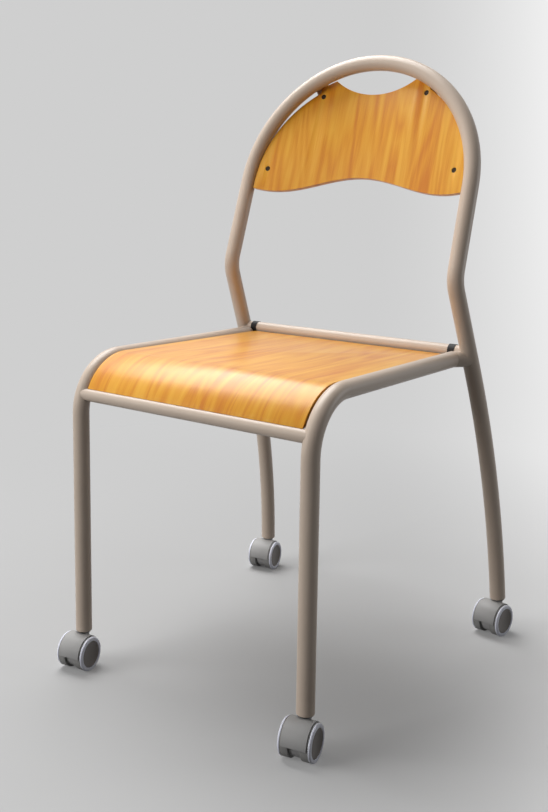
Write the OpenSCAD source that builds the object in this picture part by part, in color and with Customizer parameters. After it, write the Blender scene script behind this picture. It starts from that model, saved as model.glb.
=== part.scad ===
// School chair on four twin wheel castors.
// A round tube frame carries a bent plywood seat and a curved plywood back.
// Millimetres. The floor is z = 0 and the chair faces -Y. Left and right are as seen
// by someone who looks at it from in front, so right is +X.

/* [Main tube] */
// Outside diameter of the legs, rails and hoop
tube_d = 24; // [20:0.5:28]
// Wall thickness of the legs, rails and hoop
tube_wall = 1.5; // [1:0.1:2.5]
// Radius of the rounded edge at each tube end
tube_edge_r = 1.2; // [0.5:0.1:1.4]

/* [Front legs and rails] */
// Distance between the axes of the two front legs
front_span = 390; // [350:1:430]
// Height of the rail's axis just behind the front bend
rail_z = 456.5; // [420:0.5:500]
// Radius of the front bend, to the tube's axis
front_bend_r = 75; // [60:1:90]
// Angle by which the rails fall towards the rear
rail_fall = 1.03; // [0.5:0.01:2]
// Angle by which each rail closes in towards the rear
rail_taper = 1.15; // [0.5:0.01:2]
// Length of each rail from the front leg's axis to its rear elbow
rail_run = 386; // [350:1:420]

/* [Rear hoop] */
// Distance from each rail's elbow out to the rear leg's axis
elbow_reach = 17.45; // [14:0.05:24]
// Height of the lumbar bend's corner above the rail's rear elbow
lumbar_rise = 118; // [100:0.5:150]
// How far the lumbar bend's corner lies in front of the rail's rear elbow
lumbar_forward = 28; // [23:0.5:36]
// Radius of the lumbar bend, to the tube's axis
lumbar_bend_r = 45; // [30:1:80]
// Angle of the rear leg's straight upper part from the vertical
leg_rake = 23.2; // [20:0.1:26]
// Angle of the rear leg's foot from the vertical
foot_rake = 4.35; // [2:0.05:8]
// Height of the corner that the rear leg's long bend rounds off
knee_z = 253.5; // [200:0.5:280]
// Straight length of tube above each rear foot
foot_straight = 3; // [2:0.5:20]
// Sideways angle at which the rear legs spread
leg_splay = 2.52; // [1:0.02:4]
// Angle at which the back leans to the rear
back_lean = 18; // [12:0.5:22]
// Angle at which each side of the back closes in upwards
back_taper = 1.03; // [0.5:0.01:2]
// Length along the back from the lumbar bend's corner to the top of the arch
back_rise = 336; // [310:1:360]

/* [Cross tubes] */
// Outside diameter of the cross tubes
cross_d = 18; // [14:0.5:20]
// Wall thickness of the cross tubes
cross_wall = 1.5; // [1:0.1:2.5]
// Depth of the front cross tube's axis below the rail's axis
front_cross_drop = 47; // [44:0.5:56]
// Distance of the front cross tube's axis behind the front legs' axes
front_cross_back = 2.8; // [2.2:0.1:5]
// Height of the rear cross tube's axis above the rail's rear elbow
rear_cross_rise = 9.8; // [8:0.1:13]
// Wall thickness of the rubber buffer sleeves on the rear cross tube
buffer_wall = 0.8; // [0.5:0.1:2]
// Length of each buffer sleeve
buffer_l = 10.5; // [8:0.5:16]
// Distance from the rear leg's axis in to each sleeve's outer end
buffer_inset = 19.7; // [18:0.1:24]

/* [Seat] */
// Thickness of the seat's plywood
seat_t = 9; // [7:0.5:12]
// Height of the seat's upper face above the rail's axis at the front bend
seat_rise = 8; // [6:0.5:12]
// Angle by which the seat falls towards the rear
seat_fall = 1.5; // [0.5:0.05:3]
// Gap between the seat's rear edge and the rear cross tube
seat_stop = 3.3; // [3:0.1:40]
// Gap between the seat's side edges and the rails
seat_gap = 1; // [1:0.25:4]
// Radius of the seat's rear corners
seat_corner_r = 10; // [4:1:30]
// Gap between the top of the front cross tube and the seat's front edge over it
seat_rest = 0.3; // [0.2:0.05:2]

/* [Seat tabs] */
// Thickness of the steel tabs
tab_t = 3; // [2:0.5:4]
// Width of each seat tab
seat_tab_w = 30; // [20:1:40]
// How far each seat tab reaches in under the seat, from the rail's axis
seat_tab_reach = 46; // [36:1:60]
// Distance of the front seat tabs behind the front legs
front_tab_y = 130; // [110:1:160]
// Distance of the rear seat tabs in front of the seat's rear edge
rear_tab_inset = 70; // [50:1:130]

/* [Back panel] */
// Thickness of the back's plywood
back_t = 9; // [7:0.5:12]
// Radius of the back panel's hollow front face
back_curve_r = 854; // [700:2:1200]
// How far the front face lies behind the hoop's axis at the middle
back_inset = 18.6; // [17.6:0.1:22]
// Gap between the panel's edge and the inside of the arch
back_gap = 1; // [0.5:0.25:4]
// Width of the top stretch that passes behind the arch
back_tuck_w = 194; // [160:2:196]
// How far that top stretch reaches out past the inside of the arch
back_tuck = 6; // [3:0.5:10]
// Depth of the hand hold's lowest point below the top of the arch
hold_depth = 44.5; // [36:0.5:60]
// Radius of the hand hold's curve
hold_r = 121; // [100:1:170]
// Height of the lower edge's crest above the lumbar bend's corner, along the back
wave_crest = 156; // [140:0.5:170]
// Height of the lower edge's lobes above the lumbar bend's corner, along the back
wave_lobe = 128.5; // [115:0.5:135]
// Distance of each lobe's lowest point in from the panel's side edge
wave_inset = 28; // [20:1:50]

/* [Back fixings] */
// Distance of the upper screws in from the panel's round edge
upper_screw_inset = 7.9; // [6:0.1:16]
// Angle of the upper screws from upright, about the arch's centre
upper_screw_angle = 31.3; // [27:0.1:33]
// Distance of the lower screws in from the panel's round edge
lower_screw_inset = 16.4; // [9:0.1:26]
// Angle of the lower screws from upright, about the arch's centre
lower_screw_angle = 81.1; // [74:0.1:85]
// Width of each back tab
back_tab_w = 22; // [16:1:30]
// How far each back tab reaches in past its screw
back_tab_reach = 12; // [9:0.5:16]

/* [Screws and nuts] */
// Diameter of the screw shanks
screw_d = 5; // [4:0.5:6]
// Diameter of the back screws' sunk heads
back_head_d = 8; // [7:0.5:10]
// Depth of the back screws' heads below the panel's face
head_sink = 0.7; // [0.3:0.1:1.5]
// Height of the back screws' heads
back_head_h = 2.4; // [1.5:0.1:3]
// Diameter of the seat screws' heads
seat_head_d = 10; // [8:0.5:12]
// Height of the seat screws' heads
seat_head_h = 3; // [2:0.1:4]
// Depth of the seat screws in the plywood
seat_screw_bite = 6; // [4:0.25:6.5]
// Width of the nuts across their flats
nut_flats = 8; // [7:0.5:10]
// Height of the nuts
nut_h = 4; // [3:0.5:5]
// Radial clearance of screws in their holes
screw_fit = 0.15; // [0.05:0.05:0.4]

/* [Castor] */
// Radius of the wheels
wheel_r = 25; // [22:0.5:30]
// Height of the tube ends above the floor
castor_h = 53.5; // [53:0.5:60]
// Distance of the wheel axle in front of the swivel axis
trail = 13; // [10:0.5:15]
// Width of the hood
hood_w = 34; // [32:0.5:36]
// Outside radius of the hood
hood_r = 26.3; // [26:0.1:28]
// Clearance between the wheel treads and the hood
hood_gap = 0.4; // [0.3:0.05:0.8]
// Wall thickness of the hood
hood_wall = 1.2; // [1:0.1:2]
// Angle of the hood's front lower edge below the axle
hood_front = 2; // [0:1:10]
// Angle of the hood's rear lower edge below the axle
hood_rear = 25; // [5:1:35]
// Width of the central core between the wheels
core_w = 15; // [13:0.5:15]
// Radius of the central core
core_r = 21.5; // [20:0.25:23]
// Diameter of the neck
neck_d = 16; // [14:0.5:18]
// Swivel angle of the front left castor, from straight ahead
front_left_swivel = 8.5; // [-180:0.5:180]
// Swivel angle of the front right castor
front_right_swivel = 11; // [-180:0.5:180]
// Swivel angle of the rear right castor
rear_right_swivel = -6.5; // [-180:0.5:180]
// Swivel angle of the rear left castor
rear_left_swivel = 10.5; // [-180:0.5:180]

/* [Castor stem and axle] */
// Diameter of the stem
stem_d = 8; // [7:0.5:9]
// Height of the stem's bottom end above the floor
stem_bottom = 21; // [18:0.5:26]
// Length of the stem inside its socket
stem_grip = 24; // [18:1:30]
// Diameter of the stem's shoulder
shoulder_d = 15.6; // [12:0.2:18]
// Thickness of the stem's shoulder
shoulder_t = 1.4; // [1:0.1:1.5]
// Gap between the neck and the shoulder
swivel_gap = 0.3; // [0.2:0.05:0.4]
// Diameter of the axle
axle_d = 6; // [5:0.5:7]
// Radial clearance of a shaft that turns
run_fit = 0.05; // [0.03:0.01:0.08]
// Length of each leg socket inside its tube
socket_l = 28; // [25:1:36]
// How far each leg socket stands out of its tube
socket_lip = 1.2; // [1.1:0.05:1.4]
// Clearance of the socket in its tube
socket_fit = 0.15; // [0.1:0.05:0.3]

/* [Wheels] */
// Gap between the core and each wheel
wheel_gap = 0.6; // [0.4:0.1:1]
// Thickness of the wheel's inner web
web_t = 3; // [2:0.25:4]
// Width of each wheel's tread
tread_w = 11.1; // [10:0.1:12.5]
// Thickness of the tread's rim
rim_t = 3; // [2:0.25:4]
// Radius of the wheel's hub
hub_r = 6.5; // [5.5:0.25:9]
// How far the hub stands back from the tread's outer face
hub_back = 1.7; // [1.7:0.05:2.5]
// Width of the pale rim ring
ring_w = 3.2; // [2.5:0.1:4]
// Radial width of the pale rim ring
ring_t = 5.5; // [4.5:0.1:7]
// Radius of the rounding on the ring's outer edge
ring_round = 2.4; // [1.5:0.1:2.6]
// Thickness of the cap's flange
cap_flange = 1.4; // [1:0.1:1.6]
// How far the cap's face stays inside the ring's outer face
cap_inset = 0.7; // [0.2:0.1:1.5]
// Gap between the cap and the ring
cap_gap = 0.2; // [0.1:0.05:0.5]
// Depth of the shallow dish in the cap's face
cap_dish = 0.6; // [0.3:0.1:1]

/* [Hidden] */
$fn = 96;
// Side count of the large shallow curves
fine = 360;
// Overrun of cuts past the faces that they open
over = 4;
// How far each straight stretch of a bent rod laps over the bends at its ends
lap = 0.2;
// How much thinner the bends are than the straight stretches, in radius, so that these close over them
hair = 0.02;
// Number of steps in the wave of the back's lower edge
wave_steps = 48;
// Number of steps in each rounded corner of the seat
corner_steps = 12;

CORNERS = ["front_left", "front_right", "rear_right", "rear_left"];
CASTOR_PARTS = ["stem", "hood", "axle", "wheel_a", "wheel_b", "ring_a", "ring_b", "cap_a", "cap_b"];

STEEL = "#beaf9f";
WOOD = "#e0a050";
RUBBER = "#262424";
ZINC = "#8d8f92";
HOOD = "#8a8983";
RING = "#d9d9e6";
CAP = "#4d4c4c";

tube_r = tube_d / 2;
bore_r = tube_r - tube_wall;
cross_r = cross_d / 2;

// Front leg and rail
front_x = front_span / 2;
bend_centre_z = rail_z - front_bend_r;
rail_corner_z = bend_centre_z + front_bend_r * tan(45 + rail_fall / 2);
rail_dir = [-sin(rail_taper), cos(rail_taper), -tan(rail_fall)];
front_foot = [front_x, 0, castor_h];
rail_corner = [front_x, 0, rail_corner_z];
elbow = rail_corner + rail_run * rail_dir;
front_cross_end = [front_x, front_cross_back, rail_z - front_cross_drop];

// Rear leg and back
lumbar_x = elbow[0] + elbow_reach - lumbar_rise * tan(leg_splay);
lumbar = [lumbar_x, elbow[1] - lumbar_forward, elbow[2] + lumbar_rise];
leg_dir = splayed(sin(leg_rake), cos(leg_rake));
foot_dir = splayed(sin(foot_rake), cos(foot_rake));
knee = lumbar + leg_dir * (lumbar[2] - knee_z) / -leg_dir[2];
rear_foot = knee + foot_dir * (knee_z - castor_h) / -foot_dir[2];
leg_bend_r = (norm(knee - rear_foot) - foot_straight) / tan((leg_rake - foot_rake) / 2);
arch_r = (lumbar[0] - back_rise * tan(back_taper)) * cos(back_taper) / (1 - sin(back_taper));
arch_s = back_rise - arch_r;
arch_corner_x = lumbar[0] - back_rise * tan(back_taper);

// Cross tubes
rear_cross_z = elbow[2] + rear_cross_rise;
rear_cross_end = lumbar + leg_dir * (lumbar[2] - rear_cross_z) / -leg_dir[2];
elbow_leg = lumbar + leg_dir * (lumbar[2] - elbow[2]) / -leg_dir[2];
elbow_dir = unit(elbow_leg - elbow);

// The origin lies midway between the front and the rear axles
origin_y = (front_foot[1] + rear_foot[1]) / 2 - trail;

// Seat
seat_r = front_bend_r + seat_rise;
seat_under_r = seat_r - seat_t;
seat_depth = rear_cross_end[1] - cross_r - seat_stop;
rear_tab_y = seat_depth - rear_tab_inset;
seat_flat_l = seat_depth - front_bend_r;

// Back
panel_r = arch_r - tube_r - back_gap;
tuck_r = arch_r - tube_r + back_tuck;
curve_y = back_inset - back_curve_r;
back_rear_r = back_curve_r + back_t;
tab_rear_r = back_rear_r + tab_t;
back_depth = back_inset + back_t + tab_t + nut_h + over;
wave_x = panel_r - wave_inset;
upper_screw_r = panel_r - upper_screw_inset;
lower_screw_r = panel_r - lower_screw_inset;
upper_screw = [upper_screw_r * sin(upper_screw_angle), arch_s + upper_screw_r * cos(upper_screw_angle)];
lower_screw = [lower_screw_r * sin(lower_screw_angle), arch_s + lower_screw_r * cos(lower_screw_angle)];
back_screws_at = [for (place = [upper_screw, lower_screw]) for (side = [1, -1]) [side * place[0], place[1]]];

// Castor
swivels = [front_left_swivel, front_right_swivel, rear_right_swivel, rear_left_swivel];
socket_z = castor_h - socket_lip;
shoulder_z = socket_z - shoulder_t;
neck_z = shoulder_z - swivel_gap;
well_r = hood_r - hood_wall;
tread_r = well_r - hood_gap;
wheel_a0 = core_w / 2 + wheel_gap;
wheel_a1 = wheel_a0 + tread_w;
hub_a1 = wheel_a1 - hub_back;
ring_a1 = wheel_a1 + ring_w;
cap_a0 = hub_a1 + cap_gap;
cap_a1 = ring_a1 - cap_inset;
cap_r = wheel_r - ring_t - cap_gap;
flange_r = tread_r - rim_t - cap_gap;
axle_l = 2 * (hub_a1 - cap_gap);

// Direction down the right rear leg, from how far it goes back and how far it goes down
function splayed(back, down) = [sin(leg_splay) * down, back, -cos(leg_splay) * down];
function unit(v) = v / norm(v);
function other_side(p) = [-p[0], p[1], p[2]];
// Point on the leaning plane of the back, at x and s along the back
function on_back(x, s) = [x, lumbar[1] + s * sin(back_lean), lumbar[2] + s * cos(back_lean)];
function turn(p, i) = acos(unit(p[i] - p[i - 1]) * unit(p[i + 1] - p[i]));
// Length that a bend takes from each of the two stretches that it joins
function take(p, r, i) = i == 0 || i == len(p) - 1 ? 0 : r[i] * tan(turn(p, i) / 2);
function wave_s(x) =
    (wave_crest + wave_lobe) / 2 + (wave_crest - wave_lobe) / 2 * cos(180 * x / wave_x);

// Puts the origin at its place, midway between the axles on the floor
module placed() {
    translate([0, -origin_y, 0])
        children();
}

module on_left() {
    mirror([1, 0, 0])
        children();
}

// Turns +Z to a direction
module along(dir) {
    rotate([0, acos(unit(dir)[2]), atan2(dir[1], dir[0])])
        children();
}

module rod(from, to, r) {
    translate(from)
        along(to - from)
            cylinder(r = r, h = norm(to - from));
}

// One bend of a rod: an arc about a centre, from the stretch along a to the stretch along b
module bend(corner, a, b, bend_r, r) {
    angle = acos(a * b);
    inward = unit(b - a * (a * b));
    start = corner - a * bend_r * tan(angle / 2);
    centre = start + inward * bend_r;
    axis = cross(-inward, a);
    multmatrix([
        [-inward[0], a[0], axis[0], centre[0]],
        [-inward[1], a[1], axis[1], centre[1]],
        [-inward[2], a[2], axis[2], centre[2]],
        [0, 0, 0, 1]
    ])
        rotate_extrude(angle = angle, $fn = fine)
            translate([bend_r, 0])
                circle(r = r, $fn = 48);
}

// Rod along the points p, rounded at each inner point by its bend radius
module bent_rod(p, bends, r) {
    last = len(p) - 2;
    for (i = [0 : last]) {
        d = unit(p[i + 1] - p[i]);
        rod(
            p[i] + d * (take(p, bends, i) - (i > 0 ? lap : 0)),
            p[i + 1] - d * (take(p, bends, i + 1) - (i < last ? lap : 0)),
            r
        );
    }
    for (i = [1 : last])
        bend(p[i], unit(p[i] - p[i - 1]), unit(p[i + 1] - p[i]), bends[i], r - hair);
}

// Ring that cuts a rounded edge on a tube end, with the tube going up from z = 0
module end_rounding() {
    rotate_extrude($fn = 96)
        difference() {
            translate([tube_r - tube_edge_r, -over])
                square([tube_edge_r + over, tube_edge_r + over]);
            translate([tube_r - tube_edge_r, tube_edge_r])
                circle(r = tube_edge_r, $fn = 48);
        }
}

// Rear hoop, filled to a radius. The ends can run on past the feet.
module hoop_rod(r, run_on) {
    tail = rear_foot + foot_dir * run_on;
    p = [
        tail,
        knee,
        lumbar,
        on_back(arch_corner_x, back_rise),
        on_back(-arch_corner_x, back_rise),
        other_side(lumbar),
        other_side(knee),
        other_side(tail)
    ];
    bends = [0, leg_bend_r, lumbar_bend_r, arch_r, arch_r, lumbar_bend_r, leg_bend_r, 0];
    bent_rod(p, bends, r);
}

// The hoop's straight leg beside the rail's end, filled to a radius
module leg_rod(r) {
    rod(lumbar, knee, r);
}

module rear_hoop() {
    color(STEEL)
        difference() {
            hoop_rod(tube_r, 0);
            hoop_rod(bore_r, over);
            for (foot = [rear_foot, other_side(rear_foot)])
                translate(foot)
                    along(foot == rear_foot ? -foot_dir : -other_side(foot_dir))
                        end_rounding();
        }
}

// Block on one side of the elbow's mitre: z is how far it starts past the mitre's plane
module mitre_block(z) {
    translate(elbow)
        along(unit(rail_dir) + elbow_dir)
            translate([-2 * tube_d, -2 * tube_d, z])
                cube([4 * tube_d, 4 * tube_d, 2 * tube_d]);
}

// Side frame of the right side, filled to a radius: leg, front bend, rail, and a stub that
// turns out from the elbow to the middle of the rear leg
module side_rod(r, run_on) {
    difference() {
        bent_rod(
            [front_foot - [0, 0, run_on], rail_corner, elbow + unit(rail_dir) * tube_d],
            [0, front_bend_r, 0],
            r
        );
        mitre_block(0);
    }
    difference() {
        rod(elbow - elbow_dir * tube_d, elbow_leg, r - hair);
        mitre_block(-2 * tube_d - lap);
    }
}

module side_frame() {
    color(STEEL)
        difference() {
            side_rod(tube_r, 0);
            side_rod(bore_r, over);
            leg_rod(tube_r);
            translate(front_foot)
                end_rounding();
        }
}

module front_cross_rod(r) {
    rod(other_side(front_cross_end), front_cross_end, r);
}

module front_cross_tube() {
    color(STEEL)
        difference() {
            front_cross_rod(cross_r);
            front_cross_rod(cross_r - cross_wall);
            side_rod(tube_r, 0);
            on_left()
                side_rod(tube_r, 0);
        }
}

module rear_cross_rod(r) {
    rod(other_side(rear_cross_end), rear_cross_end, r);
}

module rear_cross_tube() {
    color(STEEL)
        difference() {
            rear_cross_rod(cross_r);
            rear_cross_rod(cross_r - cross_wall);
            for (side = [0, 1])
                mirror([side, 0, 0]) {
                    side_rod(tube_r, 0);
                    leg_rod(tube_r);
                }
        }
}

module buffer() {
    outer = rear_cross_end[0] - buffer_inset;
    color(RUBBER)
        difference() {
            rod(
                [outer - buffer_l, rear_cross_end[1], rear_cross_z],
                [outer, rear_cross_end[1], rear_cross_z],
                cross_r + buffer_wall
            );
            rear_cross_rod(cross_r);
            side_rod(tube_r, 0);
        }
}

// Side view of the seat from the middle plane, as depth and height
module seat_profile() {
    translate([front_bend_r, bend_centre_z]) {
        difference() {
            circle(r = seat_r - hair, $fn = fine);
            circle(r = seat_under_r + hair, $fn = fine);
            rotate(-seat_fall)
                square([seat_r + over, 2 * seat_r + over]);
            translate([-seat_r - over, -seat_r - over])
                square([2 * seat_r + 2 * over, seat_r + over]);
        }
        rotate(-seat_fall)
            translate([-lap, seat_under_r])
                square([lap + seat_flat_l / cos(seat_fall) + seat_t, seat_t]);
    }
}

// Half of the seat's outline from above, sharp at the front, which rolls over
function seat_half_x(y) =
    front_x - y * tan(rail_taper) - tube_r / cos(rail_taper) - seat_gap;
function seat_outline() = [
    [seat_half_x(-tube_d), -tube_d],
    for (i = [0 : corner_steps])
        [seat_half_x(seat_depth) - seat_corner_r, seat_depth - seat_corner_r]
            + seat_corner_r * [cos(90 * i / corner_steps), sin(90 * i / corner_steps)]
];

module seat_panel() {
    right = seat_outline();
    left = [for (i = [len(right) - 1 : -1 : 0]) [-right[i][0], right[i][1]]];
    color(WOOD)
        difference() {
            intersection() {
                rotate([90, 0, 90])
                    translate([0, 0, -front_x])
                        linear_extrude(2 * front_x)
                            seat_profile();
                translate([0, 0, front_cross_end[2] + cross_r + seat_rest])
                    linear_extrude(seat_r + front_cross_drop)
                        polygon(concat(right, left));
            }
            seat_tab_places()
                translate([0, 0, -over])
                    cylinder(r = screw_d / 2 + screw_fit, h = over + seat_screw_bite + screw_fit, $fn = 48);
        }
}

// Frame of the seat's underside: +Y runs back along it and z = 0 is the plywood's lower face
module under_seat() {
    translate([0, front_bend_r, bend_centre_z])
        rotate([-seat_fall, 0, 0])
            translate([0, 0, seat_under_r])
                children();
}

// The middle of each seat screw, on the underside
module seat_tab_places() {
    under_seat()
        for (y = [front_tab_y, rear_tab_y])
            for (side = [-1, 1])
                translate([side * seat_screw_x(y), y - front_bend_r, 0])
                    children();
}
function seat_screw_x(y) = front_x - y * tan(rail_taper) - seat_tab_reach + seat_head_d;

module seat_tabs() {
    color(STEEL)
        difference() {
            under_seat()
                for (y = [front_tab_y, rear_tab_y])
                    for (side = [0, 1])
                        mirror([side, 0, 0])
                            translate([seat_screw_x(y) - seat_head_d, y - front_bend_r - seat_tab_w / 2, -tab_t])
                                cube([seat_tab_reach, seat_tab_w, tab_t]);
            side_rod(tube_r, 0);
            on_left()
                side_rod(tube_r, 0);
            seat_tab_places()
                translate([0, 0, -tab_t - over])
                    cylinder(r = screw_d / 2 + screw_fit, h = tab_t + 2 * over, $fn = 48);
        }
}

module seat_screws() {
    color(ZINC)
        seat_tab_places() {
            translate([0, 0, -tab_t - seat_head_h])
                cylinder(d = seat_head_d, h = seat_head_h, $fn = 48);
            translate([0, 0, -tab_t - seat_head_h])
                cylinder(d = screw_d, h = seat_head_h + tab_t + seat_screw_bite, $fn = 48);
        }
}

// Frame of the leaning back: z runs up along it, +Y to the rear, with the lumbar corners on z = 0
module in_back() {
    translate([0, lumbar[1], lumbar[2]])
        rotate([-back_lean, 0, 0])
            children();
}

// Upright cylinder about the axis of the back's curve
module curve_rod(r) {
    translate([0, curve_y, -over])
        cylinder(r = r, h = back_rise + tube_d, $fn = 4 * fine);
}

// Prism through the back, from an outline in x and height
module through_back() {
    rotate([90, 0, 0])
        translate([0, 0, -back_depth])
            linear_extrude(back_depth + tube_d)
                children();
}

module back_outline() {
    difference() {
        intersection() {
            union() {
                translate([0, arch_s])
                    circle(r = panel_r, $fn = fine);
                translate([-panel_r, 0])
                    square([2 * panel_r, arch_s]);
                intersection() {
                    translate([0, arch_s])
                        circle(r = tuck_r, $fn = fine);
                    translate([-back_tuck_w / 2, arch_s])
                        square([back_tuck_w, tuck_r + over]);
                }
            }
            polygon([
                for (i = [-wave_steps : wave_steps])
                    [panel_r * i / wave_steps, wave_s(panel_r * i / wave_steps)],
                [panel_r, back_rise],
                [-panel_r, back_rise]
            ]);
        }
        translate([0, back_rise - hold_depth + hold_r])
            circle(r = hold_r, $fn = fine);
    }
}

// Frame of a back screw: z runs forward from the panel's front face at that screw
module at_back_screw(place) {
    angle = asin(place[0] / back_curve_r);
    translate([0, curve_y, place[1]])
        rotate([0, 0, -angle])
            translate([0, back_curve_r, 0])
                rotate([90, 0, 0])
                    children();
}

module back_panel() {
    color(WOOD)
        difference() {
            in_back()
                intersection() {
                    difference() {
                        curve_rod(back_rear_r);
                        curve_rod(back_curve_r);
                    }
                    through_back()
                        back_outline();
                }
            hoop_rod(tube_r + back_gap / 2, 0);
            in_back()
                for (place = back_screws_at)
                    at_back_screw(place) {
                        translate([0, 0, -back_t - over])
                            cylinder(r = screw_d / 2 + screw_fit, h = back_t + 2 * over, $fn = 48);
                        translate([0, 0, -head_sink - back_head_h - screw_fit])
                            cylinder(r = back_head_d / 2 + screw_fit, h = back_head_h + over, $fn = 48);
                    }
        }
}

// One strip of steel behind the panel, from a screw out to the arch, with a lip that meets the tube
module back_tab(place) {
    from_centre = place - [0, arch_s];
    reach = norm(from_centre);
    lip_r = arch_r - tab_t / 2;
    intersection() {
        difference() {
            curve_rod(tab_rear_r);
            curve_rod(back_rear_r);
        }
        translate([0, 0, arch_s])
            rotate([0, atan2(from_centre[0], from_centre[1]), 0])
                translate([-back_tab_w / 2, -tube_r, reach - back_tab_reach])
                    cube([back_tab_w, back_depth + tube_r, lip_r + tab_t - reach + back_tab_reach]);
    }
    difference() {
        translate([0, 0, arch_s])
            rotate([0, atan2(from_centre[0], from_centre[1]), 0])
                translate([-back_tab_w / 2, 0, lip_r])
                    cube([back_tab_w, back_depth, tab_t]);
        difference() {
            curve_rod(tab_rear_r + back_depth);
            curve_rod(tab_rear_r);
        }
    }
}

module back_tabs() {
    color(STEEL)
        difference() {
            in_back()
                difference() {
                    for (place = back_screws_at)
                        back_tab(place);
                    for (place = back_screws_at)
                        at_back_screw(place)
                            translate([0, 0, -back_t - tab_t - over])
                                cylinder(r = screw_d / 2 + screw_fit, h = tab_t + 2 * over, $fn = 48);
                }
            hoop_rod(tube_r, 0);
        }
}

module back_screws() {
    shank = back_t - head_sink + tab_t + nut_h;
    color(ZINC)
        in_back()
            for (place = back_screws_at)
                at_back_screw(place) {
                    translate([0, 0, -head_sink - back_head_h])
                        cylinder(d = back_head_d, h = back_head_h, $fn = 48);
                    translate([0, 0, -head_sink - shank])
                        cylinder(d = screw_d, h = shank, $fn = 48);
                }
}

module back_nuts() {
    color(ZINC)
        in_back()
            for (place = back_screws_at)
                at_back_screw(place)
                    translate([0, 0, -back_t - tab_t - nut_h])
                        difference() {
                            cylinder(d = nut_flats / cos(30), h = nut_h, $fn = 6);
                            translate([0, 0, -over])
                                cylinder(r = screw_d / 2 + run_fit, h = nut_h + 2 * over, $fn = 48);
                        }
}

// Place of a corner's castor on the floor, below the foot of its leg
function foot_at(i) = [front_foot, other_side(front_foot), rear_foot, other_side(rear_foot)][
    [1, 0, 2, 3][i]
];
function foot_up(i) = i < 2 ? [0, 0, 1] : (i == 2 ? -foot_dir : -other_side(foot_dir));

module on_foot(i) {
    translate([foot_at(i)[0], foot_at(i)[1], 0])
        rotate([0, 0, swivels[i]])
            children();
}

// Frame of the wheels: z runs along the axle and y = 0 is level with it, with -X to the front
module on_axle() {
    translate([0, -trail, wheel_r])
        rotate([90, 0, 90])
            children();
}

// Plastic plug in the tube's end, bored upright for the stem. The quarter turn keeps the
// seam of a leaning plug off the lowest point of its level end.
module socket(i) {
    foot = foot_at(i);
    color(CAP)
        difference() {
            translate(foot)
                along(foot_up(i))
                    rotate([0, 0, 90])
                        translate([0, 0, -over])
                            cylinder(r = bore_r - socket_fit, h = socket_l + over, $fn = 72);
            translate([foot[0], foot[1], socket_z - tube_d])
                translate([-tube_d, -tube_d, 0])
                    cube([2 * tube_d, 2 * tube_d, tube_d]);
            translate([foot[0], foot[1], 0])
                cylinder(r = stem_d / 2 + run_fit, h = socket_z + stem_grip + over, $fn = 48);
        }
}

module stem() {
    color(ZINC) {
        translate([0, 0, stem_bottom])
            cylinder(d = stem_d, h = socket_z + stem_grip - stem_bottom, $fn = 48);
        translate([0, 0, shoulder_z])
            cylinder(d = shoulder_d, h = shoulder_t, $fn = 72);
    }
}

// Sector that the hood leaves open below, in the wheels' frame
module hood_open() {
    linear_extrude(2 * hood_w, center = true)
        polygon([
            [0, 0],
            3 * hood_r * [-cos(hood_front), -sin(hood_front)],
            3 * hood_r * [-cos(hood_front), -1],
            3 * hood_r * [cos(hood_rear), -1],
            3 * hood_r * [cos(hood_rear), -sin(hood_rear)]
        ]);
}

module hood() {
    color(HOOD)
        difference() {
            union() {
                on_axle() {
                    difference() {
                        cylinder(r = hood_r, h = hood_w, center = true, $fn = 144);
                        hood_open();
                    }
                    cylinder(r = core_r, h = core_w, center = true, $fn = 144);
                }
                translate([0, 0, wheel_r])
                    cylinder(d = neck_d, h = neck_z - wheel_r, $fn = 72);
            }
            on_axle() {
                for (side = [0, 1])
                    mirror([0, 0, side])
                        translate([0, 0, core_w / 2])
                            cylinder(r = well_r, h = hood_w, $fn = 144);
                cylinder(r = axle_d / 2, h = 2 * hood_w, center = true, $fn = 48);
            }
            translate([0, 0, stem_bottom - run_fit - hood_gap])
                cylinder(r = stem_d / 2 + run_fit, h = castor_h, $fn = 48);
        }
}

module axle() {
    color(ZINC)
        on_axle()
            cylinder(r = axle_d / 2, h = axle_l, center = true, $fn = 48);
}

// Section of a wheel from its axis outwards, as radius and place along the axle
module wheel() {
    color(HOOD)
        rotate_extrude($fn = 144) {
            translate([axle_d / 2 + run_fit, wheel_a0])
                square([hub_r - axle_d / 2 - run_fit, hub_a1 - wheel_a0]);
            translate([axle_d / 2 + run_fit, wheel_a0])
                square([tread_r - axle_d / 2 - run_fit, web_t]);
            translate([tread_r - rim_t, wheel_a0])
                square([rim_t, tread_w]);
        }
}

module ring() {
    color(RING)
        rotate_extrude($fn = 144) {
            translate([wheel_r - ring_t, wheel_a1])
                square([ring_t, ring_w - ring_round]);
            translate([wheel_r - ring_t, wheel_a1])
                square([ring_t - ring_round, ring_w]);
            intersection() {
                translate([wheel_r - ring_round, ring_a1 - ring_round])
                    circle(r = ring_round, $fn = 48);
                translate([wheel_r - ring_t, wheel_a1])
                    square([ring_t, ring_w]);
            }
        }
}

module cap() {
    color(CAP)
        difference() {
            rotate_extrude($fn = 144) {
                translate([0, cap_a0])
                    square([flange_r, cap_flange]);
                translate([0, cap_a0])
                    square([cap_r, cap_a1 - cap_a0]);
            }
            translate([0, 0, cap_a1 - cap_dish])
                cylinder(r1 = cap_r - 4 * cap_dish, r2 = cap_r - cap_dish, h = 2 * cap_dish, $fn = 144);
        }
}

module on_wheel(side) {
    on_axle()
        mirror([0, 0, side])
            children();
}

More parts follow.
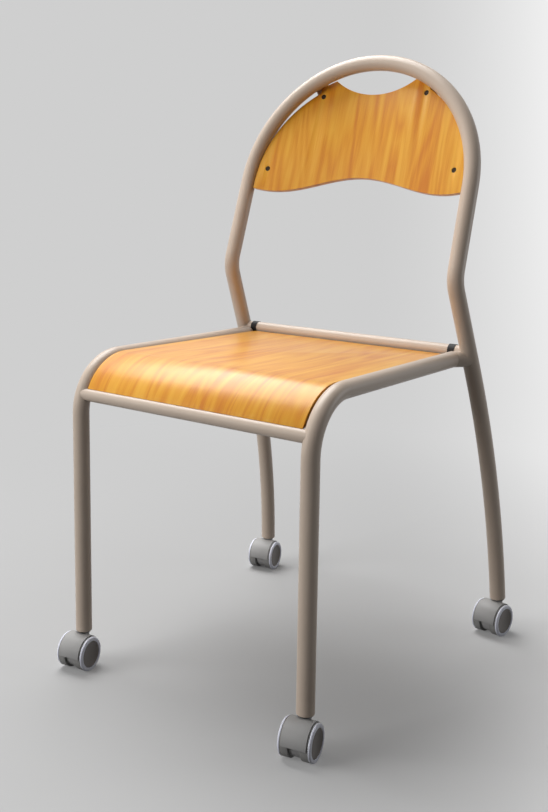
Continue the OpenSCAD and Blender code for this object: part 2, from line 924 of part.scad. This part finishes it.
placed() rear_hoop();
placed() on_left() side_frame();  // left_side_frame
placed() side_frame();  // right_side_frame
placed() front_cross_tube();
placed() rear_cross_tube();
placed() on_left() buffer();  // left_buffer
placed() buffer();  // right_buffer
placed() seat_panel();
placed() seat_tabs();
placed() seat_screws();
placed() back_panel();
placed() back_tabs();
placed() back_screws();
placed() back_nuts();
for (i = [0 : 3]) {
    placed() socket(i);
    placed() on_foot(i) stem();
    placed() on_foot(i) hood();
    placed() on_foot(i) axle();
    placed() on_foot(i) on_wheel(0) wheel();
    placed() on_foot(i) on_wheel(1) wheel();
    placed() on_foot(i) on_wheel(0) ring();
    placed() on_foot(i) on_wheel(1) ring();
    placed() on_foot(i) on_wheel(0) cap();
    placed() on_foot(i) on_wheel(1) cap();
}
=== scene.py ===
import math

import bpy
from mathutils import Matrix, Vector


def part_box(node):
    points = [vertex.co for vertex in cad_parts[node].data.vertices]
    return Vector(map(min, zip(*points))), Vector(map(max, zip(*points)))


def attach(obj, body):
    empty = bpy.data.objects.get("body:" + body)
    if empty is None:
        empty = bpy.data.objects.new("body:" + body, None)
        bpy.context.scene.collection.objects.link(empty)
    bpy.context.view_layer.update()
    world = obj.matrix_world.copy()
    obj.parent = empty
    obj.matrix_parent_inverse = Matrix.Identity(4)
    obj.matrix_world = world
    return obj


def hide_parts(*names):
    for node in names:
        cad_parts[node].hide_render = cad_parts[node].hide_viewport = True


bl_info = {
    "name": "Castor Chair",
    "version": (1, 0, 0),
    "blender": (4, 5, 0),
    "location": "View3D > Sidebar > Chair",
    "description": "Finishes a tube and plywood chair on castors, and sets its studio",
    "category": "Object",
}

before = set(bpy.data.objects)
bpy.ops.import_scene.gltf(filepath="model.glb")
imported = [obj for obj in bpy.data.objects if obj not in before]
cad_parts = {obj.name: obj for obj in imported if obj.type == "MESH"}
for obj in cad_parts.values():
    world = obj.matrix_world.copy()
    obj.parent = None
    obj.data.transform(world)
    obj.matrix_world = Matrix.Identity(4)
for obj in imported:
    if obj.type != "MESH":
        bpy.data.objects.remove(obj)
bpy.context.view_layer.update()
MM = 0.001
CORNERS = ("front_left", "front_right", "rear_right", "rear_left")
SIDES = ("a", "b")
IMAGE_W = 548
IMAGE_H = 812
SENSOR = 36

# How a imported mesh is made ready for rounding
WELD = 0.001 * MM
FLAT = math.radians(0.2)
SHARP = math.radians(40)
SMOOTH = math.radians(35)
ROUNDING_STEPS = 3

# Values of a noise at which a tint is darkest and palest
CLOUD_LOW = 0.3
CLOUD_HIGH = 0.7

# Widths of the soft clouds in powder coat, in moulded plastic and in the gloss of zinc plate
COAT_CLOUD = 111 * MM
PLASTIC_CLOUD = 28.6 * MM
ZINC_CLOUD = 2.5 * MM

# Grain of the castors' mouldings and of rubber, drawn coarse enough to show
GRIT = 0.7 * MM
RUBBER_GRIT = 0.8 * MM

# Figure of the face veneer: lengths in widths of a band or a fibre, rings over the noise's whole height,
# how much rings and fibres add to the bands, and the sums at which the three wood colours stand
RING_WIDE = 3.2
RING_LONG = 26
BAND_LONG = 18
FIBRE_LONG = 40
RING_COUNT = 11.0
RING_SHARE = 0.36
FIBRE_SHARE = 0.4
PALE_AT = 0.58
MIDDLE_AT = 0.80
WARM_AT = 1.0

# Share of the outer plies that keeps the face's colour
FACE_SHARE = 0.4

# Half the width of the strip on which the middle of the back's face is looked for
MIDDLE_STRIP = 0.1

# Painted light that spills on the paper's colour: sideways part of the view at which it starts and is full,
# how it rises between them, upward part at which it is least and most, and its least
SPILL_FROM = 0.17
SPILL_TO = 0.32
SPILL_RISE = 1.8
SPILL_LOW = -0.2
SPILL_HIGH = 0.14
SPILL_LEAST = 0.3

# Distance from the middle of the chair's painted shade at which the floor's colour starts to turn pale
SHADE_CORE = 0.1

# Side of the square floor, so large that its edge isn't seen
FLOOR_SIZE = 40

# Area lamps: place, point aimed at, and size, in metres
LAMPS = {
    "lamp_top": ((-0.95, 0.3, 2.4), (0, 0, 0.4), 1.9),
    "lamp_side": ((-1.75, -2.5, 1.4), (0, 0, 0.45), 1.9),
    "lamp_rim": ((1.9, 1.5, 0.9), (0, 0, 0.5), 1.0),
}


def linear(colour):
    """Linear RGB from an sRGB hex value."""
    parts = [int(colour[i:i + 2], 16) / 255 for i in (1, 3, 5)]
    return tuple(c / 12.92 if c <= 0.04045 else ((c + 0.055) / 1.055) ** 2.4 for c in parts)


def rgba(colour):
    return (*colour[:3], 1.0)


def length(name, description, metres):
    return bpy.props.FloatProperty(
        name=name, description=description, default=metres, min=0.0,
        subtype="DISTANCE", unit="LENGTH", precision=5
    )


def location(name, description, metres):
    return bpy.props.FloatVectorProperty(
        name=name, description=description, default=metres, size=3,
        subtype="TRANSLATION", unit="LENGTH", precision=4
    )


def amount(name, description, value):
    return bpy.props.FloatProperty(name=name, description=description, default=value, min=0.0)


def colour(name, description, value):
    return bpy.props.FloatVectorProperty(
        name=name, description=description, default=linear(value), size=3, subtype="COLOR", min=0.0, max=1.0
    )


def share(name, description, value):
    return bpy.props.FloatProperty(
        name=name, description=description, default=value, min=0.0, max=1.0, subtype="FACTOR"
    )


def angle(name, description, degrees):
    return bpy.props.FloatProperty(
        name=name, description=description, default=math.radians(degrees), subtype="ANGLE", unit="ROTATION"
    )


class ChairFrameSettings(bpy.types.PropertyGroup):
    paint: colour("Paint", "Beige grey of the powder coat", "#c3b2a2")
    gloss: share("Roughness", "Roughness of the powder coat's surface", 0.36)
    peel: length("Orange peel", "Width of the coat's ripples, drawn coarse enough to show", 2.2 * MM)


class ChairWoodSettings(bpy.types.PropertyGroup):
    pale: colour("Pale wood", "Early wood of the face veneer", "#dfa335")
    middle: colour("Middle wood", "Most of the face veneer", "#d69122")
    warm: colour("Warm wood", "Late wood of the face veneer", "#c77518")
    end_grain: colour("Cross plies", "Plies that show their end grain at the edges", "#7d4a1c")
    band: length("Band width", "Width of the broad colour bands", 17 * MM)
    fibre: length("Fibre width", "Width of the fine fibres, drawn coarse enough to show", 1.2 * MM)
    ply: length("Ply thickness", "Thickness of one ply", 9 / 7 * MM)
    edge: length("Edge rounding", "Radius of the sanded edges", 1.0 * MM)
    lean: angle("Back lean", "Angle at which the back leans to the rear", 18)
    fall: angle("Seat fall", "Angle by which the seat falls to the rear", 1.5)
    roll: length("Seat roll", "Radius of the seat's rolled front edge", 83 * MM)
    thickness: length("Board thickness", "Thickness of both boards", 9 * MM)
    hollow: length("Back hollow", "Radius of the back's hollow face", 854 * MM)


class ChairCastorSettings(bpy.types.PropertyGroup):
    hood: colour("Hood", "Grey of the hoods", "#a09f9e")
    wheel: colour("Wheel", "Grey of the wheels' treads", "#8d8c8a")
    ring: colour("Ring", "Pale lavender of the rim rings", "#eceefc")
    cap: colour("Cap", "Dark grey of the hub caps", "#69635f")
    plug: colour("Plug", "Dark grey of the plugs in the tube ends", "#4a4947")
    edge: length("Edge rounding", "Radius of the moulded edges", 0.5 * MM)


class ChairStudioSettings(bpy.types.PropertyGroup):
    eye: location("Camera place", "Where the camera stands", (0.9068, -1.3430, 0.7452))
    heading: angle("Heading", "Turn of the camera from the chair's front towards its right", 40.18)
    dip: angle("Dip", "Angle by which the camera looks down", 9.19)
    focal: bpy.props.FloatProperty(
        name="Focal length", description="Focal length in pixels of the picture", default=1109.6, min=100.0
    )
    centre: bpy.props.FloatVectorProperty(
        name="Picture centre", description="Pixel at which the camera looks straight ahead",
        default=(172.5, 335.6), size=2
    )
    paper: colour("Paper", "Pale grey of the floor and backdrop", "#cfcfcf")
    # Painted shade: the floor's colour is this darker grey round the middle of the shade, and turns to paper
    # by the pool's distance
    under: colour("Floor under the chair", "Grey of the floor in the chair's soft shade", "#b4b4b4")
    even: share("Even floor", "Share of the floor's brightness near the chair that no shadow takes", 0.12)
    # Painted light: the spill brightens the paper's colour on the floor and in the world
    spill: share("Spill", "How much brighter the paper is at the right edge of the picture", 0.45)
    pool: length("Pool of shade", "Distance from the shade's middle at which the floor is plain paper", 1.3)
    shade: location("Middle of the shade", "Where on the floor the shade is deepest", (-0.1, 0.12, 0.0))
    bounce: share("Bounce", "Share of light that the floor throws back up at the chair", 0.12)
    top_light: amount("Top light", "Power of the lamp above", 72.0)
    side_light: amount("Side light", "Power of the lamp at the left", 70.0)
    rim_light: amount("Rim light", "Power of the lamp behind", 8.0)
    fill: amount("Fill", "Strength of the light from all round", 0.07)


def add(tree, kind, settings=None, links=None, stops=()):
    """Adds one node, sets its properties and inputs by name or number, and links its inputs.

    A colour ramp also gets its stops, each a pair of place and linear colour.
    """
    made = tree.nodes.new(kind)
    for name, value in (settings or {}).items():
        if isinstance(name, int) or name in made.inputs:
            made.inputs[name].default_value = value
        else:
            setattr(made, name, value)
    for name, socket in (links or {}).items():
        tree.links.new(socket, made.inputs[name])
    if stops:
        points = made.color_ramp.elements
        while len(points) < len(stops):
            points.new(0.5)
        for point, (place, shade) in zip(points, stops):
            point.position = place
            point.color = rgba(shade)
    return made


def start_material(name, settings):
    """A new material with its surface shader's own values set."""
    material = bpy.data.materials.new(name)
    material.use_nodes = True
    shader = material.node_tree.nodes["Principled BSDF"]
    for socket, value in settings.items():
        shader.inputs[socket].default_value = value
    return material, material.node_tree, shader


def clouded(tree, place, noise, tint, dark, pale):
    """A tint that drifts in soft clouds, between its dark and its pale share."""
    drift = add(tree, "ShaderNodeTexNoise", noise, {"Vector": place})
    tone = add(
        tree,
        "ShaderNodeValToRGB",
        links={"Fac": drift.outputs["Fac"]},
        stops=[(CLOUD_LOW, [dark * c for c in tint]), (CLOUD_HIGH, [min(1.0, pale * c) for c in tint])],
    )
    return tone.outputs["Color"]


def roughen(tree, shader, height, rough, strength, depth):
    """Breaks up a shader's gloss and its surface by the same fine pattern."""
    low, high = rough
    gloss = add(tree, "ShaderNodeMapRange", {"To Min": low, "To Max": high}, {"Value": height})
    bump = add(tree, "ShaderNodeBump", {"Strength": strength, "Distance": depth}, {"Height": height})
    tree.links.new(gloss.outputs["Result"], shader.inputs["Roughness"])
    tree.links.new(bump.outputs["Normal"], shader.inputs["Normal"])


def powder_coat(settings):
    """Polyester powder coat on steel tube: half gloss, with a faint orange peel in the highlights."""
    material, tree, shader = start_material("powder_coated_steel", {"IOR": 1.5})
    place = add(tree, "ShaderNodeTexCoord").outputs["Object"]
    noise = {"Scale": 1 / COAT_CLOUD, "Detail": 3.0}
    tone = clouded(tree, place, noise, settings.paint, dark=0.965, pale=1.02)
    tree.links.new(tone, shader.inputs["Base Color"])
    peel = add(tree, "ShaderNodeTexNoise", {"Scale": 1 / settings.peel, "Detail": 2.0}, {"Vector": place})
    rough = settings.gloss - 0.04, settings.gloss + 0.06
    roughen(tree, shader, peel.outputs["Fac"], rough, strength=0.12, depth=0.15 * MM)
    return material


def along_grain(tree, grain, size, noise):
    """Noise whose grains have the given width and length along a board's grain."""
    width, run = size
    space = add(tree, "ShaderNodeMapping", {"Scale": (1 / width, 1 / run, 1.0)}, {"Vector": grain})
    made = add(tree, "ShaderNodeTexNoise", {"Scale": 1.0, **noise}, {"Vector": space.outputs["Vector"]})
    return made.outputs["Fac"]


def veneer_face(tree, settings, grain, fibres):
    """Colour of the face veneer: growth rings cut flat, and fine fibres, on broad bands."""
    band = settings.band
    hills = along_grain(
        tree,
        grain,
        (RING_WIDE * band, RING_LONG * band),
        {"Detail": 1.5, "Roughness": 0.4, "Distortion": 0.2},
    )
    bands = along_grain(
        tree, grain, (band, BAND_LONG * band), {"Detail": 2.0, "Roughness": 0.5, "Distortion": 0.3}
    )
    count = add(tree, "ShaderNodeMath", {"operation": "MULTIPLY", 1: RING_COUNT}, {0: hills})
    rings = add(tree, "ShaderNodeMath", {"operation": "PINGPONG", 1: 0.5}, {0: count.outputs["Value"]})
    figure = add(
        tree,
        "ShaderNodeMath",
        {"operation": "MULTIPLY_ADD", 1: RING_SHARE},
        {0: rings.outputs["Value"], 2: bands},
    )
    mixed = add(
        tree,
        "ShaderNodeMath",
        {"operation": "MULTIPLY_ADD", 1: FIBRE_SHARE},
        {0: fibres, 2: figure.outputs["Value"]},
    )
    wood = add(
        tree,
        "ShaderNodeValToRGB",
        links={"Fac": mixed.outputs["Value"]},
        stops=[(PALE_AT, settings.pale), (MIDDLE_AT, settings.middle), (WARM_AT, settings.warm)],
    )
    return wood.outputs["Color"]


def cross_plies(tree, settings):
    """1 in the plies that show their end grain at a board's edge, and 0 in the others and on the faces."""
    depth = add(tree, "ShaderNodeAttribute", {"attribute_name": "ply_depth"}).outputs["Fac"]
    face = FACE_SHARE * settings.ply
    layer = add(tree, "ShaderNodeMath", {"operation": "DIVIDE", 1: 2 * settings.ply}, {0: depth})
    turn = add(tree, "ShaderNodeMath", {"operation": "FRACT"}, {0: layer.outputs["Value"]})
    cross = add(tree, "ShaderNodeMath", {"operation": "GREATER_THAN", 1: 0.5}, {0: turn.outputs["Value"]})
    below = add(tree, "ShaderNodeMath", {"operation": "GREATER_THAN", 1: face}, {0: depth})
    above = add(tree, "ShaderNodeMath", {"operation": "LESS_THAN", 1: settings.thickness - face}, {0: depth})
    inner = add(
        tree,
        "ShaderNodeMath",
        {"operation": "MULTIPLY"},
        {0: below.outputs["Value"], 1: above.outputs["Value"]},
    )
    plies = add(
        tree,
        "ShaderNodeMath",
        {"operation": "MULTIPLY"},
        {0: cross.outputs["Value"], 1: inner.outputs["Value"]},
    )
    return plies.outputs["Value"]


def varnished_plywood(settings):
    """Beech plywood under satin varnish: a warm figured face with a soft shine, and plies at the edges."""
    material, tree, shader = start_material(
        "varnished_beech_plywood",
        {"IOR": 1.45, "Specular Tint": rgba(linear("#ffe2a0")), "Coat Weight": 0.65, "Coat Roughness": 0.3},
    )
    grain = add(tree, "ShaderNodeUVMap", {"uv_map": "grain"}).outputs["UV"]
    fibres = along_grain(tree, grain, (settings.fibre, FIBRE_LONG * settings.fibre), {"Detail": 2.0})
    wood = add(
        tree,
        "ShaderNodeMix",
        {"data_type": "RGBA", 7: rgba(settings.end_grain)},
        {0: cross_plies(tree, settings), 6: veneer_face(tree, settings, grain, fibres)},
    )
    tree.links.new(wood.outputs[2], shader.inputs["Base Color"])
    roughen(tree, shader, fibres, (0.4, 0.5), strength=0.2, depth=0.06 * MM)
    return material


def moulded_plastic(name, tint, roughness, grit):
    """Injection moulded plastic: a fine spark eroded grain that breaks up the gloss."""
    material, tree, shader = start_material(name, {"IOR": 1.46})
    place = add(tree, "ShaderNodeTexCoord").outputs["Object"]
    tone = clouded(tree, place, {"Scale": 1 / PLASTIC_CLOUD, "Detail": 2.0}, tint, dark=0.94, pale=1.05)
    tree.links.new(tone, shader.inputs["Base Color"])
    grain = add(tree, "ShaderNodeTexNoise", {"Scale": 1 / grit, "Detail": 1.0}, {"Vector": place})
    rough = roughness - 0.05, roughness + 0.07
    roughen(tree, shader, grain.outputs["Fac"], rough, strength=0.15, depth=0.1 * grit)
    return material


def plated_steel(name, tint):
    """Zinc plate on steel, bright or blackened: bare metal with a slightly cloudy gloss."""
    material, tree, shader = start_material(name, {"Metallic": 1.0, "Base Color": rgba(tint)})
    place = add(tree, "ShaderNodeTexCoord").outputs["Object"]
    cloud = add(tree, "ShaderNodeTexNoise", {"Scale": 1 / ZINC_CLOUD, "Detail": 3.0}, {"Vector": place})
    rough = add(tree, "ShaderNodeMapRange", {"To Min": 0.25, "To Max": 0.45}, {"Value": cloud.outputs["Fac"]})
    tree.links.new(rough.outputs["Result"], shader.inputs["Roughness"])
    return material


def paint_node(name, material):
    """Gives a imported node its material."""
    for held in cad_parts[name].material_slots:
        held.material = material


def only(piece):
    """Selects one object and nothing else, and makes it active."""
    bpy.ops.object.select_all(action="DESELECT")
    piece.select_set(True)
    bpy.context.view_layer.objects.active = piece


def unrolled_seat(settings):
    """Gives, for a point, its place on the seat's veneer: across, along the grain, and below the face."""
    low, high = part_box("seat_panel")
    drop = high.z - settings.roll - low.z
    centre = Vector((low.y + math.sqrt(settings.roll**2 - drop**2), high.z - settings.roll))
    back = Vector((math.cos(settings.fall), -math.sin(settings.fall)))
    up = Vector((math.sin(settings.fall), math.cos(settings.fall)))

    def place(point):
        spoke = Vector((point.y, point.z)) - centre
        ahead, height = spoke.dot(back), spoke.dot(up)
        if ahead > 0:
            return point.x, ahead, settings.roll - height
        return point.x, settings.roll * math.atan2(ahead, height), settings.roll - spoke.length

    return place


def unrolled_back(settings):
    """Gives, for a point, its place on the back's veneer: round the hollow, up, and behind the face."""
    back = Vector((0, math.cos(settings.lean), -math.sin(settings.lean)))
    up = Vector((0, math.sin(settings.lean), math.cos(settings.lean)))
    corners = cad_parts["back_panel"].data.vertices
    near = [v.co for v in corners if abs(v.co.x) < MIDDLE_STRIP]
    face = min(near, key=lambda c: c.dot(back) - c.x**2 / (2 * settings.hollow))
    middle = face.dot(back) - settings.hollow * (1 - math.cos(face.x / settings.hollow)) + settings.hollow

    def place(point):
        out = point.dot(back) - middle + 2 * settings.hollow
        radius = math.hypot(point.x, out)
        return settings.hollow * math.atan2(point.x, out), point.dot(up), radius - settings.hollow

    return place


def rounded_copy(node, name, width, body):
    """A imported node's mesh with its doubles merged, its flats joined and its sharp edges rounded."""
    piece = bpy.data.objects.new(name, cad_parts[node].data.copy())
    bpy.context.scene.collection.objects.link(piece)
    only(piece)
    bpy.ops.object.mode_set(mode="EDIT")
    bpy.ops.mesh.select_all(action="SELECT")
    bpy.ops.mesh.customdata_custom_splitnormals_clear()
    bpy.ops.mesh.remove_doubles(threshold=WELD)
    bpy.ops.mesh.dissolve_limited(angle_limit=FLAT)
    bpy.ops.object.mode_set(mode="OBJECT")
    if width > 0:
        bevel = piece.modifiers.new("edge", "BEVEL")
        bevel.width = width
        bevel.segments = ROUNDING_STEPS
        bevel.limit_method = "ANGLE"
        bevel.angle_limit = SHARP
        bpy.ops.object.modifier_apply(modifier=bevel.name)
    bpy.ops.object.shade_smooth_by_angle(angle=SMOOTH)
    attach(piece, body)
    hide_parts(node)
    return piece


def dress(piece, material):
    piece.data.materials.clear()
    piece.data.materials.append(material)


def lay_veneer(piece, unrolled):
    """Gives a board its grain map, and the depth below its face at each point."""
    mesh = piece.data
    places = [unrolled(v.co) for v in mesh.vertices]
    grain = mesh.uv_layers.new(name="grain")
    for loop in mesh.loops:
        grain.data[loop.index].uv = places[loop.vertex_index][:2]
    depth = mesh.attributes.new("ply_depth", "FLOAT", "POINT")
    depth.data.foreach_set("value", [p[2] for p in places])


class CHAIR_OT_camera(bpy.types.Operator):
    """Stands the camera where the picture was taken from"""
    bl_idname = "chair.camera"
    bl_label = "Camera"

    def execute(self, context):
        studio = context.scene.chair_studio
        larger = max(IMAGE_W, IMAGE_H)
        bpy.ops.object.camera_add(
            location=studio.eye, rotation=(math.radians(90) - studio.dip, 0, studio.heading)
        )
        camera = context.object
        camera.name = "view"
        camera.data.sensor_width = SENSOR
        camera.data.lens = studio.focal * camera.data.sensor_width / larger
        camera.data.shift_x = (IMAGE_W / 2 - studio.centre[0]) / larger
        camera.data.shift_y = (studio.centre[1] - IMAGE_H / 2) / larger
        context.scene.camera = camera
        return {"FINISHED"}


class CHAIR_OT_frame_paint(bpy.types.Operator):
    """Paints the tubes and tabs"""
    bl_idname = "chair.frame_paint"
    bl_label = "Frame paint"

    def execute(self, context):
        coat = powder_coat(context.scene.chair_frame)
        for name in (
            "rear_hoop",
            "left_side_frame",
            "right_side_frame",
            "front_cross_tube",
            "rear_cross_tube",
            "seat_tabs",
            "back_tabs",
        ):
            paint_node(name, coat)
        rubber = moulded_plastic("black_rubber", linear("#1d1b1b"), roughness=0.62, grit=RUBBER_GRIT)
        for side in ("left", "right"):
            paint_node(f"{side}_buffer", rubber)
        return {"FINISHED"}


class CHAIR_OT_boards(bpy.types.Operator):
    """Makes the plywood seat and back"""
    bl_idname = "chair.boards"
    bl_label = "Seat and back"

    def execute(self, context):
        wood = context.scene.chair_wood
        veneer = varnished_plywood(wood)
        seat = rounded_copy("seat_panel", "seat_plywood", wood.edge, "frame")
        back = rounded_copy("back_panel", "back_plywood", wood.edge, "frame")
        lay_veneer(seat, unrolled_seat(wood))
        lay_veneer(back, unrolled_back(wood))
        dress(seat, veneer)
        dress(back, veneer)
        return {"FINISHED"}


class CHAIR_OT_fixings(bpy.types.Operator):
    """Finishes the screws and nuts"""
    bl_idname = "chair.fixings"
    bl_label = "Fixings"

    def execute(self, context):
        zinc = plated_steel("zinc_plated_steel", linear("#a9acb0"))
        paint_node("back_screws", plated_steel("blackened_steel", linear("#4a4036")))
        paint_node("seat_screws", zinc)
        paint_node("back_nuts", zinc)
        for corner in CORNERS:
            paint_node(f"{corner}_stem", zinc)
            paint_node(f"{corner}_axle", zinc)
        return {"FINISHED"}


class CHAIR_OT_castors(bpy.types.Operator):
    """Makes the castors' hoods, wheels, rings and caps"""
    bl_idname = "chair.castors"
    bl_label = "Castors"

    def execute(self, context):
        castor = context.scene.chair_castor
        hood = moulded_plastic("hood_nylon", castor.hood, roughness=0.5, grit=GRIT)
        wheel = moulded_plastic("wheel_nylon", castor.wheel, roughness=0.5, grit=GRIT)
        ring = moulded_plastic("ring_nylon", castor.ring, roughness=0.35, grit=GRIT)
        cap = moulded_plastic("cap_nylon", castor.cap, roughness=0.42, grit=GRIT)
        plug = moulded_plastic("plug_nylon", castor.plug, roughness=0.5, grit=GRIT)
        for corner in CORNERS:
            paint_node(f"{corner}_socket", plug)
            made = rounded_copy(
                f"{corner}_hood", f"{corner}_cover", castor.edge, f"{corner}_castor"
            )
            dress(made, hood)
            for side in SIDES:
                body = f"{corner}_roller_{side}"
                for part, material, slot in (
                    ("wheel", wheel, "wheel_plastic"),
                    ("ring", ring, "ring_plastic"),
                    ("cap", cap, "cap_plastic"),
                ):
                    node = f"{corner}_{part}_{side}"
                    made = rounded_copy(node, f"{node}_moulded", castor.edge, body)
                    dress(made, material)
        return {"FINISHED"}


def seen_by_eye(tree):
    """1 for the rays that show the studio itself, straight or in a gloss, and 0 for those that light it."""
    ray = add(tree, "ShaderNodeLightPath")
    glossy = add(
        tree,
        "ShaderNodeMath",
        {"operation": "MAXIMUM"},
        {0: ray.outputs["Is Glossy Ray"], 1: ray.outputs["Is Transmission Ray"]},
    )
    both = add(
        tree,
        "ShaderNodeMath",
        {"operation": "MAXIMUM"},
        {0: ray.outputs["Is Camera Ray"], 1: glossy.outputs[0]},
    )
    return both.outputs[0]


def spilt_light(tree, studio, direction, paper):
    """The paper's colour with painted light: brighter towards the side where light spills on it, most of all
    high up.
    """
    side = Vector((math.cos(studio.heading), math.sin(studio.heading), 0))
    across = add(tree, "ShaderNodeVectorMath", {"operation": "DOT_PRODUCT", 1: side}, {0: direction})
    spread = add(
        tree,
        "ShaderNodeMapRange",
        {"From Min": SPILL_FROM, "From Max": SPILL_TO},
        {"Value": across.outputs["Value"]},
    )
    curve = add(tree, "ShaderNodeMath", {"operation": "POWER", 1: SPILL_RISE}, {0: spread.outputs["Result"]})
    height = add(tree, "ShaderNodeSeparateXYZ", links={0: direction})
    gain = add(
        tree,
        "ShaderNodeMapRange",
        {"From Min": SPILL_LOW, "From Max": SPILL_HIGH, "To Min": SPILL_LEAST, "To Max": studio.spill},
        {"Value": height.outputs["Z"]},
    )
    extra = add(
        tree,
        "ShaderNodeMath",
        {"operation": "MULTIPLY"},
        {0: curve.outputs["Value"], 1: gain.outputs["Result"]},
    )
    whole = add(tree, "ShaderNodeMath", {"operation": "ADD", 1: 1.0}, {0: extra.outputs["Value"]})
    bright = add(
        tree, "ShaderNodeVectorMath", {"operation": "SCALE"}, {0: paper, "Scale": whole.outputs["Value"]}
    )
    return bright.outputs["Vector"]


def studio_paper(studio):
    """Seamless matt paper: painted shade darkens its colour under the chair, and it is even far from it, so
    that it has no horizon.
    """
    material, tree, shader = start_material("studio_paper", {"Roughness": 1.0, "Specular IOR Level": 0.0})
    place = add(tree, "ShaderNodeTexCoord").outputs["Object"]
    away = add(tree, "ShaderNodeVectorMath", {"operation": "DISTANCE", 1: studio.shade}, {0: place})
    near = add(
        tree,
        "ShaderNodeMapRange",
        {"interpolation_type": "SMOOTHSTEP", "From Min": SHADE_CORE, "From Max": studio.pool},
        {"Value": away.outputs["Value"]},
    )
    # Painted shade: the floor's colour goes from the darker grey round the chair to the paper's grey
    tone = add(
        tree,
        "ShaderNodeMix",
        {"data_type": "RGBA", 6: rgba(studio.under), 7: rgba(studio.paper)},
        {0: near.outputs["Result"]},
    )
    offset = add(tree, "ShaderNodeVectorMath", {"operation": "SUBTRACT", 1: studio.eye}, {0: place})
    direction = add(tree, "ShaderNodeVectorMath", {"operation": "NORMALIZE"}, {0: offset.outputs["Vector"]})
    # Painted light: the spilt light brightens the floor's colour towards one side
    shade = spilt_light(tree, studio, direction.outputs["Vector"], tone.outputs[2])
    tree.links.new(shade, shader.inputs["Base Color"])
    bounce = add(tree, "ShaderNodeBsdfDiffuse", {"Color": rgba([studio.bounce] * 3)})
    glow = add(tree, "ShaderNodeEmission", {"Strength": 1.0}, {"Color": shade})
    far = add(tree, "ShaderNodeMapRange", {"To Min": studio.even}, {"Value": near.outputs["Result"]})
    lit = add(
        tree,
        "ShaderNodeMixShader",
        links={0: far.outputs["Result"], 1: shader.outputs[0], 2: glow.outputs[0]},
    )
    both = add(
        tree, "ShaderNodeMixShader", links={0: seen_by_eye(tree), 1: bounce.outputs[0], 2: lit.outputs[0]}
    )
    tree.links.new(both.outputs[0], tree.nodes["Material Output"].inputs["Surface"])
    return material


class CHAIR_OT_stage(bpy.types.Operator):
    """Lays the floor, hangs the backdrop and sets the lamps"""
    bl_idname = "chair.stage"
    bl_label = "Stage"

    def execute(self, context):
        studio = context.scene.chair_studio
        bpy.ops.mesh.primitive_plane_add(size=FLOOR_SIZE)
        floor = context.object
        floor.name = "floor"
        dress(floor, studio_paper(studio))
        self.set_world(context, studio)
        self.add_lamp("lamp_top", studio.top_light)
        side = self.add_lamp("lamp_side", studio.side_light)
        # Its glare would turn the seat white for an eye behind the chair
        side.visible_glossy = False
        self.add_lamp("lamp_rim", studio.rim_light)
        return {"FINISHED"}

    def add_lamp(self, name, power):
        place, target, size = LAMPS[name]
        aim = (Vector(target) - Vector(place)).to_track_quat("-Z", "Y")
        bpy.ops.object.light_add(type="AREA", location=place, rotation=aim.to_euler())
        lamp = bpy.context.object
        lamp.name = name
        lamp.data.size = size
        lamp.data.energy = power
        return lamp

    def set_world(self, context, studio):
        """Even light from all round; the camera sees the paper's own grey in its place, brightened by painted
        spilt light.
        """
        world = bpy.data.worlds.new("studio")
        world.use_nodes = True
        context.scene.world = world
        tree = world.node_tree
        fill = tree.nodes["Background"]
        fill.inputs["Color"].default_value = (1, 1, 1, 1)
        fill.inputs["Strength"].default_value = studio.fill
        direction = add(tree, "ShaderNodeTexCoord").outputs["Generated"]
        plain = add(tree, "ShaderNodeRGB")
        plain.outputs[0].default_value = rgba(studio.paper)
        shade = spilt_light(tree, studio, direction, plain.outputs[0])
        seen = add(tree, "ShaderNodeBackground", {"Strength": 1.0}, {"Color": shade})
        both = add(
            tree, "ShaderNodeMixShader", links={0: seen_by_eye(tree), 1: fill.outputs[0], 2: seen.outputs[0]}
        )
        tree.links.new(both.outputs[0], tree.nodes["World Output"].inputs["Surface"])


class CHAIR_PT_panel(bpy.types.Panel):
    """Lists the chair's operators and settings"""
    bl_label = "Chair"
    bl_idname = "CHAIR_PT_panel"
    bl_space_type = "VIEW_3D"
    bl_region_type = "UI"
    bl_category = "Chair"

    def draw(self, context):
        for operator in OPERATORS:
            self.layout.operator(operator.bl_idname)
        for group in GROUPS:
            box = self.layout.box()
            settings = getattr(context.scene, group)
            for name in settings.bl_rna.properties.keys():
                if name not in ("rna_type", "name"):
                    box.prop(settings, name)


GROUPS = {
    "chair_frame": ChairFrameSettings,
    "chair_wood": ChairWoodSettings,
    "chair_castor": ChairCastorSettings,
    "chair_studio": ChairStudioSettings,
}
OPERATORS = (
    CHAIR_OT_camera,
    CHAIR_OT_stage,
    CHAIR_OT_frame_paint,
    CHAIR_OT_boards,
    CHAIR_OT_fixings,
    CHAIR_OT_castors,
)


def register():
    for made in (*GROUPS.values(), *OPERATORS, CHAIR_PT_panel):
        bpy.utils.register_class(made)
    for name, group in GROUPS.items():
        setattr(bpy.types.Scene, name, bpy.props.PointerProperty(type=group))


def unregister():
    for name in GROUPS:
        delattr(bpy.types.Scene, name)
    for made in (CHAIR_PT_panel, *reversed(OPERATORS), *reversed(tuple(GROUPS.values()))):
        bpy.utils.unregister_class(made)


def main():
    register()
    bpy.context.scene.view_settings.view_transform = "Standard"
    bpy.ops.chair.camera()
    bpy.ops.chair.stage()
    bpy.ops.chair.frame_paint()
    bpy.ops.chair.boards()
    bpy.ops.chair.fixings()
    bpy.ops.chair.castors()


if __name__ == "__main__":
    main()
